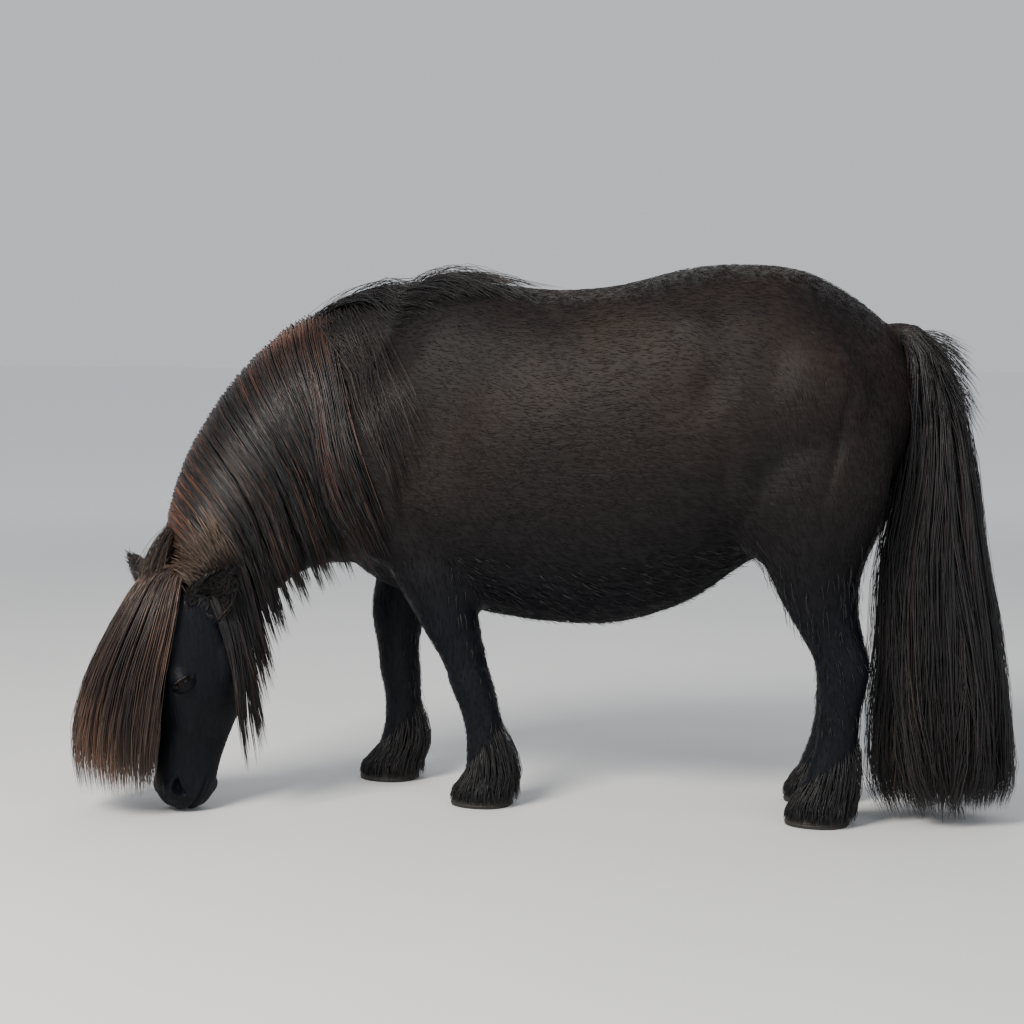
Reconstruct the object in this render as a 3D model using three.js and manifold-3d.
// A shetland pony mare at grass, life size: head down and turned to its left, one foreleg forward,
// the long mane hanging on the left of the neck, the forelock over the face and the tail to the ground.
// Millimetres, +Z up. The pony faces -X and its left side faces -Y.
import * as THREE from "three";
import { mergeVertices } from "three/addons/utils/BufferGeometryUtils.js";
import Module from "manifold-3d";

const wasm = await Module();
wasm.setup();

// Driving dimensions
const WITHERS = 985; // skin height at the withers
const CROUP = 1030; // skin height at the croup
const BELLY = 338; // clearance under the barrel
const BARREL = 242; // half width of the barrel
const HEAD_LENGTH = 440; // poll to lips
const HEAD_YAW = 40; // degrees the head is turned to the left of the body
const HEAD_TILT = 3; // degrees the muzzle is pushed forward from straight down
const HOOF_HEIGHT = 36;
const EYE_RADIUS = 19;
const EAR_LENGTH = 102;
const GAP = 0.35; // between the nodes

const V = (x, y, z) => new THREE.Vector3(x, y, z);
const radians = THREE.MathUtils.degToRad;

// A seeded draw between -1 and 1
let seed = 7;
function draw() {
  seed = (seed * 16807) % 2147483647;
  return (2 * seed) / 2147483647 - 1;
}

// Solids and surfaces

// A closed geometry as a solid that can be joined and cut.
function solid(geometry) {
  const bare = geometry.clone();
  bare.deleteAttribute("normal");
  bare.deleteAttribute("uv");
  const merged = mergeVertices(bare, 1e-3);
  return new wasm.Manifold(new wasm.Mesh({
    numProp: 3,
    vertProperties: new Float32Array(merged.attributes.position.array),
    triVerts: new Uint32Array(merged.index.array),
  }));
}

// The solid's surface as a geometry.
function surface(body) {
  const mesh = body.getMesh();
  const geometry = new THREE.BufferGeometry();
  geometry.setAttribute("position", new THREE.BufferAttribute(new Float32Array(mesh.vertProperties), 3));
  geometry.setIndex(new THREE.BufferAttribute(new Uint32Array(mesh.triVerts), 1));
  return geometry;
}

// The largest closed piece of a solid: scraps and sealed hollows go.
function largest(body) {
  const pieces = body.simplify(0.05).decompose();
  return pieces.reduce((a, b) => (b.volume() > a.volume() ? b : a));
}

// A solid grown by a distance along its vertex normals.
function grown(body, distance) {
  const geometry = surface(body);
  geometry.computeVertexNormals();
  const place = geometry.attributes.position;
  const normal = geometry.attributes.normal;
  for (let i = 0; i < place.count; i++) {
    place.setXYZ(
      i,
      place.getX(i) + normal.getX(i) * distance,
      place.getY(i) + normal.getY(i) * distance,
      place.getZ(i) + normal.getZ(i) * distance,
    );
  }
  geometry.deleteAttribute("normal");
  return solid(geometry);
}

// A closed skin over rings of points, its faces pointing out. Each end is a fan, or for a flat sheet a strip.
function loft(rings, flat = false) {
  const count = rings[0].length;
  const points = rings.flat();
  const faces = [];
  for (let r = 0; r + 1 < rings.length; r++) {
    for (let i = 0; i < count; i++) {
      const a = r * count + i;
      const b = r * count + ((i + 1) % count);
      faces.push([a, b, b + count], [a, b + count, a + count]);
    }
  }
  for (const [r, first] of [[0, true], [rings.length - 1, false]]) {
    if (flat) {
      for (let i = 0; i + 1 < count / 2; i++) {
        const [a, b, c, d] = [i, i + 1, count - 2 - i, count - 1 - i].map((k) => r * count + k);
        faces.push(...(first ? [[c, b, a], [d, c, a]] : [[a, b, c], [a, c, d]]));
      }
      continue;
    }
    const middle = rings[r].reduce((sum, p) => sum.add(p), V(0, 0, 0)).divideScalar(count);
    const tip = points.push(middle) - 1;
    for (let i = 0; i < count; i++) {
      const a = r * count + i;
      const b = r * count + ((i + 1) % count);
      faces.push(first ? [b, a, tip] : [a, b, tip]);
    }
  }
  const inside = faces.reduce((sum, [a, b, c]) => sum + points[a].dot(points[b].clone().cross(points[c])), 0) < 0;
  const geometry = new THREE.BufferGeometry().setFromPoints(points);
  geometry.setIndex(faces.flatMap((face) => (inside ? face.reverse() : face)));
  return geometry;
}

// A flat, tapered lock along a path, four-sided. Each across vector is the room it has there, filled by a share.
function lock(path, across, share, thick) {
  const last = path.length - 1;
  const points = [];
  const faces = [[0, 1, 2], [0, 2, 3]];
  for (let k = 0; k < last; k++) {
    const along = path[k + 1].clone().sub(path[Math.max(k - 1, 0)]).normalize();
    const broad = across[k].clone().addScaledVector(along, -across[k].dot(along));
    const flat = along.clone().cross(broad).normalize();
    const t = k / last;
    const full = (0.35 + 0.65 * Math.sin(Math.min(1, t / 0.3) * Math.PI / 2)) * (1 - 0.65 * t ** 3) / 2;
    const room = broad.length() * share;
    broad.normalize();
    for (const [direction, size] of [[broad, room], [flat, thick], [broad, -room], [flat, -thick]]) {
      points.push(path[k].clone().addScaledVector(direction, full * size));
    }
    for (let i = 0; i < 4; i++) {
      const [a, b] = [4 * k + i, 4 * k + ((i + 1) % 4)];
      faces.push(...(k + 1 < last ? [[a, b + 4, b], [a, a + 4, b + 4]] : [[a, 4 * last, b]]));
    }
  }
  points.push(path[last]);
  const inside = faces.reduce((sum, [a, b, c]) => sum + points[a].dot(points[b].clone().cross(points[c])), 0) < 0;
  const geometry = new THREE.BufferGeometry().setFromPoints(points);
  geometry.setIndex(faces.flatMap((face) => (inside ? face.reverse() : face)));
  return solid(geometry);
}

// A ring round a centre: up and down along one direction, side along the other, fuller as round grows past 2.
function ring({ centre, up, side, above, below, half, round = 2 }, count) {
  return Array.from({ length: count }, (_, i) => {
    const angle = (2 * Math.PI * i) / count;
    const c = Math.cos(angle);
    const s = Math.sin(angle);
    const along = Math.sign(c) * Math.abs(c) ** (2 / round) * (c > 0 ? above : below);
    const across = Math.sign(s) * Math.abs(s) ** (2 / round) * half;
    return centre.clone().addScaledVector(up, along).addScaledVector(side, across);
  });
}

// The values between the stations of a table, on a smooth curve through them.
function between(table, position) {
  const i = Math.min(Math.floor(position), table.length - 2);
  const t = position - i;
  const at = (k) => table[Math.max(0, Math.min(table.length - 1, k))];
  const mixed = {};
  for (const key of Object.keys(table[0])) {
    const [a, b, c, d] = [at(i - 1)[key], at(i)[key], at(i + 1)[key], at(i + 2)[key]];
    mixed[key] = b + 0.5 * t * (c - a + t * (2 * a - 5 * b + 4 * c - d + t * (3 * (b - c) + d - a)));
  }
  return mixed;
}

// The stations of a table filled in with so many steps from each to the next.
function filled(table, steps) {
  return Array.from({ length: (table.length - 1) * steps + 1 }, (_, i) => between(table, i / steps));
}

// Torso: rings across the body from the breast to the buttocks
const TORSO = [
  { x: -612, top: 620, wide: 560, bottom: 505, half: 40, round: 2 },
  { x: -590, top: 735, wide: 570, bottom: 445, half: 108, round: 2.1 },
  { x: -530, top: 885, wide: 590, bottom: 405, half: 158, round: 2.2 },
  { x: -440, top: WITHERS - 2, wide: 610, bottom: 378, half: 188, round: 2.2 },
  { x: -330, top: WITHERS + 12, wide: 620, bottom: 356, half: 214, round: 2.2 },
  { x: -190, top: 984, wide: 630, bottom: BELLY + 2, half: BARREL - 6, round: 2.25 },
  { x: -60, top: 993, wide: 640, bottom: BELLY + 6, half: BARREL, round: 2.3 },
  { x: 70, top: CROUP - 5, wide: 660, bottom: 388, half: BARREL - 4, round: 2.3 },
  { x: 170, top: CROUP + 2, wide: 700, bottom: 456, half: 232, round: 2.3 },
  { x: 270, top: CROUP - 8, wide: 730, bottom: 505, half: 220, round: 2.3 },
  { x: 348, top: 986, wide: 742, bottom: 535, half: 202, round: 2.2 },
  { x: 412, top: 938, wide: 752, bottom: 572, half: 168, round: 2.1 },
  { x: 456, top: 884, wide: 757, bottom: 618, half: 124, round: 2 },
  { x: 480, top: 844, wide: 760, bottom: 668, half: 78, round: 2 },
  { x: 490, top: 804, wide: 760, bottom: 712, half: 32, round: 2 },
];
const TORSO_SIDES = 24;

function torsoForm() {
  return loft(filled(TORSO, 2).map((s) => ring({
    centre: V(s.x, 0, s.wide),
    up: V(0, 0, 1),
    side: V(0, -1, 0),
    above: s.top - s.wide,
    below: s.wide - s.bottom,
    half: s.half,
    round: s.round,
  }, TORSO_SIDES)));
}

// Neck: rings between the crest line and the throat line, bending to the left
const NECK = [
  { cx: -395, cy: 0, cz: 966, tx: -510, ty: 0, tz: 440, half: 108, round: 2.2 },
  { cx: -500, cy: -2, cz: 978, tx: -590, ty: -4, tz: 440, half: 126, round: 2.2 },
  { cx: -600, cy: -12, cz: 956, tx: -640, ty: -18, tz: 438, half: 128, round: 2.2 },
  { cx: -688, cy: -36, cz: 906, tx: -674, ty: -48, tz: 432, half: 122, round: 2.2 },
  { cx: -766, cy: -72, cz: 834, tx: -696, ty: -90, tz: 418, half: 112, round: 2.2 },
  { cx: -826, cy: -116, cz: 744, tx: -710, ty: -136, tz: 396, half: 100, round: 2.2 },
  { cx: -866, cy: -164, cz: 646, tx: -716, ty: -182, tz: 366, half: 87, round: 2.15 },
  { cx: -880, cy: -210, cz: 550, tx: -720, ty: -220, tz: 330, half: 74, round: 2.1 },
  { cx: -868, cy: -252, cz: 462, tx: -736, ty: -240, tz: 300, half: 58, round: 2 },
];
const NECK_SIDES = 22;
const NECK_WIDEST = 0.6; // how far down the neck its widest point lies

function neckRings() {
  const stations = filled(NECK, 2);
  const middles = stations.map((s) => V(s.cx, s.cy, s.cz).lerp(V(s.tx, s.ty, s.tz), NECK_WIDEST));
  return stations.map((s, i) => {
    const heading = middles[Math.min(i + 1, middles.length - 1)].clone().sub(middles[Math.max(i - 1, 0)]);
    const height = V(s.cx, s.cy, s.cz).sub(V(s.tx, s.ty, s.tz));
    const up = height.clone().normalize();
    return {
      centre: middles[i],
      up,
      side: heading.cross(up).normalize().negate(),
      above: height.length() * NECK_WIDEST,
      below: height.length() * (1 - NECK_WIDEST),
      half: s.half,
      round: s.round,
    };
  });
}

function neckForm() {
  return loft(neckRings().map((r) => ring(r, NECK_SIDES)));
}

// Head: its own frame, down from the poll, with front towards the forehead and left towards the near cheek
const POLL = V(-826, -272, 444);
const turn = radians(HEAD_YAW);
const tilt = radians(HEAD_TILT);
const ahead = V(-Math.cos(turn), -Math.sin(turn), 0);
const LEFT = V(Math.sin(turn), -Math.cos(turn), 0);
const DOWN = ahead.clone().multiplyScalar(Math.sin(tilt)).addScaledVector(V(0, 0, -1), Math.cos(tilt));
const FRONT = new THREE.Vector3().crossVectors(DOWN, LEFT).normalize();
const inHead = (down, front, left) =>
  POLL.clone().addScaledVector(DOWN, down).addScaledVector(FRONT, front).addScaledVector(LEFT, left);

const L = HEAD_LENGTH;
const HEAD = [
  { down: -0.012 * L, face: 22, jaw: 20, half: 26, round: 2 },
  { down: 0.03 * L, face: 54, jaw: 54, half: 54, round: 2.1 },
  { down: 0.13 * L, face: 78, jaw: 90, half: 73, round: 2.2 },
  { down: 0.25 * L, face: 88, jaw: 112, half: 82, round: 2.3 },
  { down: 0.36 * L, face: 87, jaw: 122, half: 86, round: 2.4 },
  { down: 0.45 * L, face: 78, jaw: 120, half: 84, round: 2.5 },
  { down: 0.56 * L, face: 65, jaw: 106, half: 71, round: 2.5 },
  { down: 0.67 * L, face: 56, jaw: 88, half: 58, round: 2.4 },
  { down: 0.78 * L, face: 53, jaw: 72, half: 51, round: 2.4 },
  { down: 0.87 * L, face: 54, jaw: 63, half: 52, round: 2.4 },
  { down: 0.94 * L, face: 50, jaw: 56, half: 50, round: 2.3 },
  { down: 0.985 * L, face: 36, jaw: 42, half: 38, round: 2.1 },
  { down: 1.0 * L, face: 16, jaw: 18, half: 20, round: 2 },
];
const HEAD_SIDES = 20;

function headForm() {
  return loft(filled(HEAD, 2).map((s) => ring({
    centre: inHead(s.down, 0, 0),
    up: FRONT,
    side: LEFT,
    above: s.face,
    below: s.jaw,
    half: s.half,
    round: s.round,
  }, HEAD_SIDES)));
}

// Legs: level rings from inside the body down to the coronet
const FORELEG = [
  { z: 600, front: 84, back: 84, half: 52 },
  { z: 500, front: 88, back: 84, half: 60 },
  { z: 430, front: 76, back: 74, half: 60 },
  { z: 340, front: 60, back: 58, half: 50 },
  { z: 268, front: 46, back: 44, half: 41 },
  { z: 222, front: 47, back: 43, half: 43 },
  { z: 180, front: 40, back: 42, half: 37 },
  { z: 130, front: 38, back: 44, half: 35 },
  { z: 90, front: 42, back: 50, half: 40 },
  { z: 60, front: 46, back: 52, half: 44 },
  { z: HOOF_HEIGHT, front: 54, back: 50, half: 50 },
];
const HINDLEG = [
  { z: 800, front: 112, back: 112, half: 62 },
  { z: 660, front: 140, back: 142, half: 92 },
  { z: 545, front: 122, back: 114, half: 86 },
  { z: 465, front: 88, back: 80, half: 70 },
  { z: 400, front: 68, back: 65, half: 56 },
  { z: 350, front: 57, back: 58, half: 48 },
  { z: 308, front: 50, back: 58, half: 45 },
  { z: 262, front: 46, back: 50, half: 42 },
  { z: 205, front: 40, back: 43, half: 37 },
  { z: 145, front: 40, back: 44, half: 36 },
  { z: 95, front: 44, back: 50, half: 41 },
  { z: 62, front: 50, back: 52, half: 45 },
  { z: HOOF_HEIGHT, front: 58, back: 52, half: 52 },
];
// Where each leg's middle stands at each of those heights: x along the body, y out to the side
const STANCE = {
  fore_left: { form: FORELEG, x: [-450, -425, -402, -368, -341, -326, -315, -306, -301, -300, -303],
    y: [-108, -112, -112, -104, -98, -96, -95, -95, -95, -95, -95] },
  fore_right: { form: FORELEG, x: [-470, -488, -510, -538, -538, -533, -530, -530, -533, -541, -550],
    y: [108, 112, 112, 104, 98, 96, 95, 95, 95, 95, 95] },
  hind_left: { form: HINDLEG, x: [300, 318, 320, 322, 333, 350, 366, 371, 366, 360, 348, 341, 336],
    y: [-120, -126, -128, -124, -116, -110, -106, -104, -102, -101, -100, -100, -100] },
  hind_right: { form: HINDLEG, x: [300, 316, 316, 312, 314, 324, 335, 340, 336, 330, 318, 311, 306],
    y: [120, 126, 128, 124, 116, 110, 106, 104, 102, 101, 100, 100, 100] },
};
const LEG_SIDES = 12;

function legForm({ form, x, y }) {
  const table = form.map((s, i) => ({ ...s, x: x[i], y: y[i] }));
  return loft(table.reverse().map((s) => ring({
    centre: V(s.x, s.y, s.z),
    up: V(-1, 0, 0),
    side: V(0, 1, 0),
    above: s.front,
    below: s.back,
    half: s.half,
    round: 2.1,
  }, LEG_SIDES)));
}

// Hoof: a blunt cone, longer at the toe, under the coronet
const HOOF = [
  { z: 0, front: 66, back: 50, half: 54 },
  { z: 6, front: 67, back: 51, half: 55 },
  { z: HOOF_HEIGHT - GAP, front: 53, back: 46, half: 47 },
];

function hoofForm({ x, y }) {
  return loft(HOOF.map((s) => ring({
    centre: V(x.at(-1), y.at(-1), s.z),
    up: V(-1, 0, 0),
    side: V(0, 1, 0),
    above: s.front,
    below: s.back,
    half: s.half,
    round: 2.2,
  }, 16)));
}

// Feather: locks round the back of each fetlock that hang clear of the hoof
const FEATHER = [
  { z: 118, out: 26 },
  { z: 96, out: 54 },
  { z: 62, out: 66 },
  { z: 32, out: 70 },
  { z: 9, out: 66 },
];
const FEATHER_LOCKS = 6;
const FEATHER_FAN = 150; // degrees round the back of the fetlock
function featherLocks({ x, y }) {
  const room = radians(FEATHER_FAN) / FEATHER_LOCKS;
  const at = (angle, low) => FEATHER.map((s) => V(
    x.at(-1) + s.out * Math.cos(angle) * 0.98,
    y.at(-1) + s.out * Math.sin(angle) * 0.92,
    118 - (118 - s.z) * low,
  ));
  return Array.from({ length: FEATHER_LOCKS }, (_, i) => {
    const angle = room * (i + 0.5 - FEATHER_LOCKS / 2);
    const low = 1 - 0.12 * Math.abs(draw()) - 0.1 * Math.abs(Math.sin(angle));
    const [path, before, after] = [at(angle, low), at(angle - room / 2, low), at(angle + room / 2, low)];
    return lock(path, path.map((_, k) => after[k].clone().sub(before[k])), 0.9, 9);
  });
}

// Eye: a ball in its socket, under a ring of lid
const EYE = { down: 0.435 * L, front: 30, left: 74 };
const eyePlace = (side) => inHead(EYE.down, EYE.front, EYE.left * side);

function ball(centre, radius, detail) {
  return new THREE.SphereGeometry(radius, detail, Math.round(detail * 0.6)).translate(centre.x, centre.y, centre.z);
}

// Ear: a leaf with its cup cut out, in a frame of its own, from its root out
const EAR = [
  { out: -24, wide: 22, thick: 20 },
  { out: 8, wide: 26, thick: 19 },
  { out: 36, wide: 30, thick: 16 },
  { out: 64, wide: 25, thick: 12 },
  { out: 86, wide: 14, thick: 8 },
  { out: EAR_LENGTH, wide: 3, thick: 3 },
];
const EARS = {
  left: { root: inHead(60, -4, 60), tip: inHead(-0.76, -0.2, 0.6).sub(POLL), mouth: inHead(0.5, 0.6, 0.6).sub(POLL) },
  right: { root: inHead(32, 30, -56), tip: inHead(-0.48, 0.52, -0.78).sub(POLL), mouth: inHead(0.7, 0.7, 0).sub(POLL) },
};

function earForm({ root, tip, mouth }) {
  const out = tip.clone().normalize();
  const side = new THREE.Vector3().crossVectors(out, mouth).normalize();
  const open = new THREE.Vector3().crossVectors(side, out).normalize();
  const leaf = (from, thin, shift) => loft(EAR.filter((s) => s.out > from).map((s) => ring({
    centre: root.clone().addScaledVector(out, s.out).addScaledVector(open, shift),
    up: open,
    side,
    above: s.thick * thin + (shift ? 14 : 0),
    below: s.thick * thin,
    half: s.wide * thin,
    round: 2,
  }, 10)));
  return solid(leaf(-99, 1, 0)).subtract(solid(leaf(14, 0.74, 4)));
}

// Orbit, lids, nostrils and mouth, on the head's two sides
const FISSURE = { long: 18, short: 11.5, lid: 4.5, turn: 35 }; // the eye's opening, in millimetres and degrees
function orbitForm(side) {
  return ball(inHead(EYE.down - 8, EYE.front + 2, 56 * side), 33, 11);
}
function lidForm(side) {
  const outward = inHead(0, 0.32, side).sub(POLL).normalize();
  const slant = radians(FISSURE.turn);
  const along = inHead(-Math.sin(slant), -Math.cos(slant), 0).sub(POLL);
  along.addScaledVector(outward, -along.dot(outward)).normalize();
  const across = new THREE.Vector3().crossVectors(outward, along);
  const place = eyePlace(side).addScaledVector(outward, EYE_RADIUS * 0.62);
  const frame = new THREE.Matrix4().makeBasis(along, across, outward).setPosition(place);
  return new THREE.TorusGeometry(1, FISSURE.lid / FISSURE.short, 5, 14)
    .scale(FISSURE.long, FISSURE.short + 2, FISSURE.short)
    .applyMatrix4(frame);
}
function nostrilForm(side) {
  const frame = new THREE.Matrix4().makeBasis(LEFT, FRONT, DOWN);
  return new THREE.SphereGeometry(1, 10, 7).scale(12, 8, 15)
    .rotateX(radians(-20)).rotateZ(radians(-35 * side))
    .applyMatrix4(frame.setPosition(inHead(0.905 * L, 30, 44 * side)));
}
function mouthForm() {
  const slit = new THREE.Shape();
  slit.moveTo(0.845 * L, -34);
  slit.quadraticCurveTo(0.93 * L, -24, 1.02 * L, 2);
  slit.lineTo(1.02 * L, 6);
  slit.quadraticCurveTo(0.93 * L, -20, 0.845 * L, -32);
  const frame = new THREE.Matrix4().makeBasis(DOWN, FRONT, LEFT.clone().negate());
  return new THREE.ExtrudeGeometry(slit, { depth: 140, bevelEnabled: false, curveSegments: 6 })
    .translate(0, 0, -70)
    .applyMatrix4(frame.setPosition(POLL));
}
function chinForm() {
  const place = inHead(0.9 * L, -44, 0);
  return ball(place, 26, 12);
}

// Body solids, each cut clear of the one it grows from
const torso = solid(torsoForm());
const torsoGrown = grown(torso, GAP);
const skull = solid(headForm());
const skullGrown = grown(skull, GAP);
const bareNeck = solid(neckForm());
const legs = {};
const legsGrown = {};
const hooves = {};
for (const [name, stance] of Object.entries(STANCE)) {
  hooves[name] = solid(hoofForm(stance));
  legs[name] = largest(wasm.Manifold.union([solid(legForm(stance)), ...featherLocks(stance)])
    .subtract(torsoGrown));
  legsGrown[name] = grown(legs[name], GAP);
}
const eyes = {};
const ears = {};
const neckGrown = grown(bareNeck, GAP);
for (const [name, side] of [["left", 1], ["right", -1]]) {
  eyes[name] = solid(ball(eyePlace(side), EYE_RADIUS, 12));
  ears[name] = largest(earForm(EARS[name]).subtract(skullGrown).subtract(neckGrown));
}

// The mane lies on whatever of these a ray from the left side meets first
const under = [torso, bareNeck, skull, legs.fore_left].map((body) => {
  const mesh = new THREE.Mesh(surface(body), new THREE.MeshBasicMaterial());
  mesh.updateMatrixWorld(true);
  return mesh;
});
const ray = new THREE.Raycaster();
function onLeft(x, z, clear) {
  ray.set(V(x, -900, z), V(0, 1, 0));
  const hit = ray.intersectObjects(under)[0];
  return hit && hit.point.addScaledVector(hit.face.normal, clear);
}

// Mane: each path leaves the crest square to it, bends down and lies on the neck, shoulder and cheek
const MANE = {
  from: 0.9, // stations of NECK where it begins and ends
  to: 7.5,
  runs: [0.07, 0.19, 0.36, 0.56, 0.78, 1], // where the points of a path lie along it
  free: 0.56, // all paths are alike down to here
  sunk: 16, // depth of the root in the crest
  over: 12, // rise over the crest
  clear: 12, // distance kept from the body
  square: 0.42, // share of a path that runs square to the crest before it bends down
  drawn: 0.2, // most that a hanging path draws in towards the body, for its length
};
// Where the mane's ends hang, from the withers to the poll
const MANE_ENDS = [
  { x: -376, z: 659 },
  { x: -430, z: 575 },
  { x: -484, z: 540 },
  { x: -532, z: 512 },
  { x: -575, z: 482 },
  { x: -612, z: 452 },
  { x: -645, z: 418 },
  { x: -668, z: 352 },
  { x: -682, z: 262 },
  { x: -694, z: 170 },
  { x: -716, z: 162 },
];

function manePath(t, share, layer) {
  const crest = between(NECK, MANE.from + (MANE.to - MANE.from) * t);
  const next = between(NECK, MANE.from + (MANE.to - MANE.from) * t + 0.05);
  const end = between(MANE_ENDS, t * (MANE_ENDS.length - 1));
  const into = V(crest.cz - next.cz, 0, next.cx - crest.cx).normalize();
  const root = V(crest.cx, 0, crest.cz);
  const tip = V(end.x, 0, end.z);
  const bend = root.clone().addScaledVector(into, MANE.square * root.distanceTo(tip));
  const top = crest.cy + 0.9 * layer - 14;
  const points = [
    V(crest.cx, top, crest.cz).addScaledVector(into, MANE.sunk),
    V(crest.cx, top, crest.cz).addScaledVector(into, -MANE.over - layer),
  ];
  let last = V(crest.cx, top - 10, crest.cz);
  for (const run of MANE.runs) {
    const u = run > MANE.free ? MANE.free + ((run - MANE.free) * (share - MANE.free)) / (1 - MANE.free) : run;
    const place = root.clone().multiplyScalar((1 - u) ** 2)
      .addScaledVector(bend, 2 * u * (1 - u)).addScaledVector(tip, u * u);
    const laid = onLeft(place.x, place.z, MANE.clear + layer);
    const drawnIn = last.y + Math.hypot(place.x - last.x, place.z - last.z) * MANE.drawn;
    last = laid && laid.y < drawnIn ? laid : V(place.x, laid ? drawnIn : last.y, place.z);
    points.push(last);
  }
  return points;
}

// Three layers of locks, each over the gaps of the one below, the outermost shorter
const MANE_LAYERS = [
  { out: 0, count: 16, aside: -0.33, share: 0.95 },
  { out: 12, count: 16, aside: 0, share: 1 },
  { out: 24, count: 16, aside: 0.33, share: 0.8 },
];
const MANE_THICK = 6;
const maneLocks = MANE_LAYERS.flatMap(({ out, count, aside, share }) => Array.from({ length: count }, (_, i) => {
  const t = (i + 0.5 + aside * 0.9) / count;
  const long = share * (1 + 0.06 * draw());
  const half = 0.5 / count;
  const path = manePath(t, long, out);
  const [before, after] = [manePath(t - half, long, out), manePath(t + half, long, out)];
  const across = path.map((_, k) => after[k].clone().sub(before[k]));
  const sway = 7 * Math.sin(23 * t);
  path.forEach((p, k) => p.addScaledVector(across[k].clone().normalize(), k > 1 ? sway * Math.sin(k * 1.3) : 0));
  return lock(path, across, 0.84 + 0.06 * draw(), MANE_THICK);
}));
const earsGrown = wasm.Manifold.union([grown(ears.left, GAP), grown(ears.right, GAP)]);
const neck = largest(wasm.Manifold.union([bareNeck, wasm.Manifold.union(maneLocks).subtract(earsGrown)])
  .subtract(torsoGrown).subtract(skullGrown).subtract(legsGrown.fore_left));

// Forelock: paths over the forehead, standing off the face and hanging almost to the lips
const FORELOCK = [
  { down: -4, stand: 14, spread: 26, left: 0 },
  { down: 8, stand: 64, spread: 34, left: 0 },
  { down: 50, stand: 118, spread: 62, left: -2 },
  { down: 110, stand: 158, spread: 88, left: -8 },
  { down: 190, stand: 192, spread: 106, left: -14 },
  { down: 270, stand: 212, spread: 114, left: -20 },
  { down: 330, stand: 212, spread: 112, left: -24 },
  { down: 388, stand: 194, spread: 104, left: -28 },
];
const FACE_CLEAR = 9;
const FORELOCK_LIFT = 34; // least rise of the outermost layer over the innermost
const FORELOCK_SUNK = 16;

function faceAt(down, left) {
  const place = HEAD.findIndex((s) => s.down > down);
  const i = Math.max(1, place < 0 ? HEAD.length - 1 : place);
  const t = (down - HEAD[i - 1].down) / (HEAD[i].down - HEAD[i - 1].down);
  const s = between(HEAD, i - 1 + Math.max(0, Math.min(1, t)));
  const across = Math.min(1, Math.abs(left) / s.half);
  return s.face * (1 - across ** s.round) ** (1 / s.round);
}

function forelockPath(across, depth, share) {
  const root = 1.6 * (1 - depth);
  const end = (FORELOCK.length - 1) * share;
  return [0, 0.07, 0.22, 0.42, 0.62, 0.82, 1].map((t, k) => {
    const s = between(FORELOCK, root + (end - root) * t);
    const left = s.left + s.spread * across;
    const bulge = across > 0 ? 0.92 : 0.7;
    const outer = s.stand * Math.sqrt(1 - (bulge * across) ** 2);
    const onFace = faceAt(s.down, left) + FACE_CLEAR;
    return inHead(s.down, k < 1 ? onFace - FACE_CLEAR - FORELOCK_SUNK : onFace + depth * Math.max(FORELOCK_LIFT, outer - onFace), left);
  });
}
// Four layers of locks from the face out
const FORELOCK_LAYERS = [
  { depth: 0, from: -0.42, to: 0.5, count: 4, share: 0.93 },
  { depth: 0.34, from: -0.85, to: 0.66, count: 6, share: 0.96 },
  { depth: 0.68, from: -0.94, to: 0.84, count: 7, share: 0.97 },
  { depth: 1, from: -1, to: 1, count: 8, share: 1 },
];
const FORELOCK_THICK = 6;
const forelock = FORELOCK_LAYERS.flatMap(({ depth, from, to, count, share }) => Array.from({ length: count }, (_, i) => {
  const room = (to - from) / count;
  const side = from + room * (i + 0.5);
  const long = share * (1 + 0.04 * draw());
  const path = forelockPath(side, depth, long);
  const [before, after] = [forelockPath(side - room / 2, depth, long), forelockPath(side + room / 2, depth, long)];
  return lock(path, path.map((_, k) => after[k].clone().sub(before[k])), 0.86, FORELOCK_THICK);
}));

let flesh = wasm.Manifold.union([
  skull,
  solid(chinForm()),
  ...[1, -1].flatMap((side) => [solid(orbitForm(side)), solid(lidForm(side))]),
]);
for (const name of ["left", "right"]) flesh = flesh.subtract(grown(eyes[name], GAP));
for (const side of [1, -1]) flesh = flesh.subtract(solid(nostrilForm(side)));
flesh = flesh.subtract(solid(mouthForm()));
const head = largest(flesh.add(wasm.Manifold.union(forelock).subtract(earsGrown).subtract(grown(neck, GAP))));

// Tail: from the dock out and down behind the hocks, almost to the ground
const TAIL = [
  { x: 432, z: 902, deep: 24, half: 28 },
  { x: 474, z: 898, deep: 32, half: 34 },
  { x: 508, z: 862, deep: 38, half: 42 },
  { x: 524, z: 800, deep: 42, half: 50 },
  { x: 533, z: 730, deep: 48, half: 60 },
  { x: 535, z: 620, deep: 66, half: 74 },
  { x: 530, z: 480, deep: 88, half: 88 },
  { x: 541, z: 330, deep: 102, half: 98 },
  { x: 546, z: 190, deep: 114, half: 104 },
  { x: 554, z: 80, deep: 117, half: 106 },
  { x: 560, z: 14, deep: 100, half: 92 },
];
function tailAt(station, angle, share) {
  const s = between(TAIL, station);
  const before = between(TAIL, Math.max(0, station - 0.1));
  const after = between(TAIL, Math.min(TAIL.length - 1, station + 0.1));
  const up = V(before.z - after.z, 0, after.x - before.x).normalize();
  return V(s.x, -s.half * share * Math.sin(angle), s.z).addScaledVector(up, s.deep * share * Math.cos(angle));
}
// The dock, which the locks grow from
const DOCK = { stations: 4.4, share: 0.62 };
function dockForm() {
  return loft(Array.from({ length: 9 }, (_, k) => {
    const station = (DOCK.stations * k) / 8;
    const share = DOCK.share * (1 - 0.45 * (k / 8) ** 2);
    return Array.from({ length: 12 }, (_, i) => tailAt(station, (2 * Math.PI * i) / 12, share));
  }));
}
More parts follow.
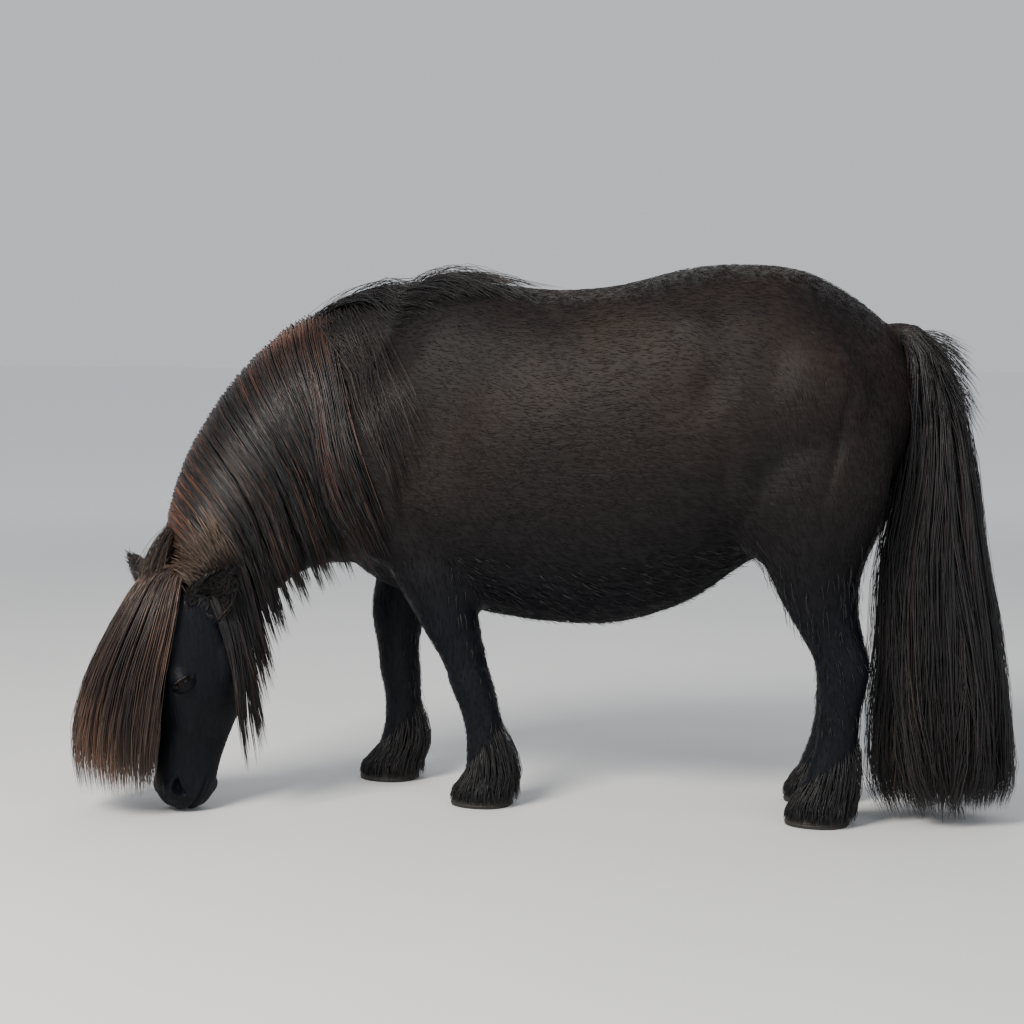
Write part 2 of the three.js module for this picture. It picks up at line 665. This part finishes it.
// Shells of locks round the dock, from the middle of the tail out, and a short fringe at its top
const TAIL_LAYERS = [
  { share: 0.36, count: 5, root: 2.6, tip: 9.4 },
  { share: 0.7, count: 10, root: 1.9, tip: 9.8 },
  { share: 1, count: 15, root: 1.1, tip: 10 },
];
const TAIL_THICK = 8;
const tailLocks = TAIL_LAYERS.flatMap(({ share, count, root, tip }, layer) => Array.from({ length: count }, (_, i) => {
  const room = (2 * Math.PI) / count;
  const angle = room * (i + 0.5 * (layer % 2));
  const from = root + (i % 2 ? 0.5 : 0);
  const to = tip - 0.35 * Math.abs(draw());
  const stations = [0, 0.09, 0.22, 0.4, 0.6, 0.8, 1].map((t) => from + (to - from) * t);
  const out = (k) => share * Math.min(1, 0.4 + 0.3 * k);
  const at = (turned) => stations.map((s, k) => tailAt(s, angle + turned, out(k)));
  const [path, before, after] = [at(0), at(-room / 2), at(room / 2)];
  return { path, across: path.map((_, k) => after[k].clone().sub(before[k])) };
}));
const tail = largest(wasm.Manifold.union([
  solid(dockForm()),
  ...tailLocks.map(({ path, across }) => lock(path, across, 0.86, TAIL_THICK)),
]).subtract(torsoGrown).subtract(legsGrown.hind_left).subtract(legsGrown.hind_right));

// Materials
const coat = new THREE.MeshStandardMaterial({ color: "#1d1614", roughness: 0.6, metalness: 0 });
const hair = new THREE.MeshStandardMaterial({ color: "#17110f", roughness: 0.5, metalness: 0 });
const horn = new THREE.MeshStandardMaterial({ color: "#2a2522", roughness: 0.5, metalness: 0 });
const wet = new THREE.MeshStandardMaterial({ color: "#0b0808", roughness: 0.08, metalness: 0 });

// Assembly
const pony = new THREE.Group();
function add(name, body, material) {
  const mesh = new THREE.Mesh(surface(body), material);
  mesh.name = name;
  pony.add(mesh);
}
add("torso", torso, coat);
add("neck", neck, coat);
add("head", head, coat);
add("tail", tail, hair);
for (const name of Object.keys(STANCE)) {
  add("leg_" + name, legs[name], coat);
  add("hoof_" + name, hooves[name], horn);
}
for (const name of ["left", "right"]) {
  add("eye_" + name, eyes[name], wet);
  add("ear_" + name, ears[name], coat);
}

// The origin lies on the floor under the middle of the pony
const box = new THREE.Box3().setFromObject(pony);
pony.position.set(-(box.min.x + box.max.x) / 2, -(box.min.y + box.max.y) / 2, -box.min.z);
export default pony;
